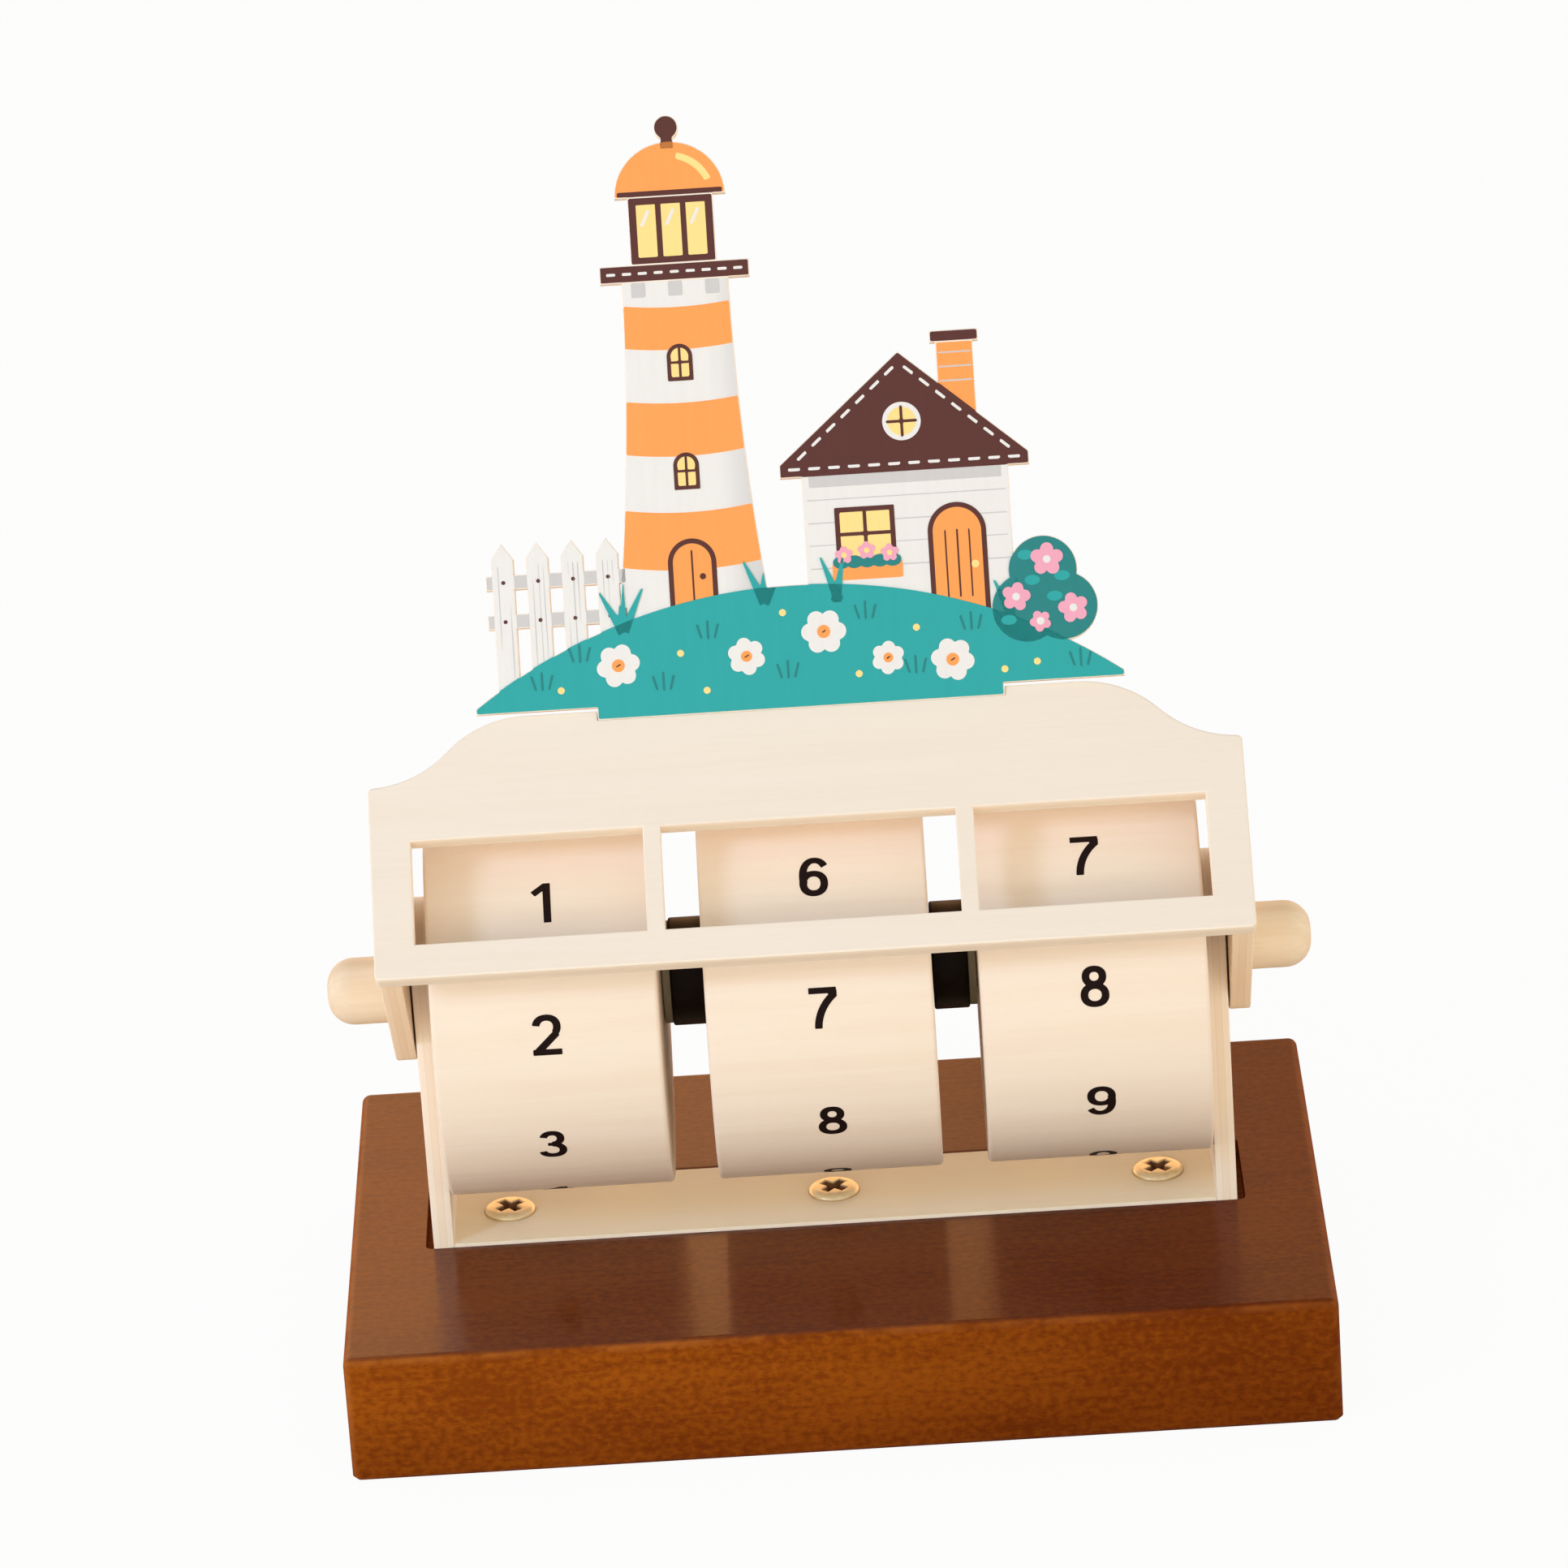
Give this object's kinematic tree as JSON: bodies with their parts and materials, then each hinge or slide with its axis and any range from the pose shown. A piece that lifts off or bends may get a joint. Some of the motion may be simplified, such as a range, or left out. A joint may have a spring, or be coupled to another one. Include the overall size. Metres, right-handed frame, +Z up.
{
  "type": "perpetual desk calendar",
  "caption": "Wooden desk day counter: number drums turn on a dowel above a block base, under a windowed plywood hood that carries a flat painted cut-out topper.",
  "frame": {"origin": "centre of the base's underside", "axes": "+X to the right along the dowel, +Y to the back, +Z up; the numbers face -Y and up"},
  "size_m": [0.141, 0.089, 0.1763],
  "materials": {
    "stained_hardwood": "satin",
    "birch_plywood": "satin",
    "painted_plywood": "satin",
    "dowel_wood": "matte",
    "drum_wood": "satin",
    "black_rubber": "gloss",
    "grey_nylon": "matte",
    "brass_plate": "polished"
  },
  "bodies": {
    "stand": {"base_block": "stained_hardwood", "floor_strip": "birch_plywood", "upright_left": "birch_plywood", "upright_right": "birch_plywood", "screw_left": "brass_plate", "screw_middle": "brass_plate", "screw_right": "brass_plate", "axle_dowel": "dowel_wood", "sleeve_left": "black_rubber", "sleeve_right": "black_rubber", "washer_left": "grey_nylon", "washer_right": "grey_nylon"},
    "drum_left": {"drum_left": "drum_wood"},
    "drum_middle": {"drum_middle": "drum_wood"},
    "drum_right": {"drum_right": "drum_wood"},
    "hood": {"hood_panel": "birch_plywood", "arm_left": "birch_plywood", "arm_right": "birch_plywood", "topper_plaque": "painted_plywood"}
  },
  "joints": [
    {"name": "drum_left_spin", "type": "hinge", "parent": "stand", "child": "drum_left", "pos_m": [0, 0, 0.0558], "axis": [1, 0, 0], "continuous": true},
    {"name": "drum_middle_spin", "type": "hinge", "parent": "stand", "child": "drum_middle", "pos_m": [0, 0, 0.0558], "axis": [1, 0, 0], "continuous": true},
    {"name": "drum_right_spin", "type": "hinge", "parent": "stand", "child": "drum_right", "pos_m": [0, 0, 0.0558], "axis": [1, 0, 0], "continuous": true},
    {"name": "hood_tilt", "type": "hinge", "parent": "stand", "child": "hood", "pos_m": [0, 0, 0.0558], "axis": [1, 0, 0], "range_deg": [-20, 35]}
  ]
}
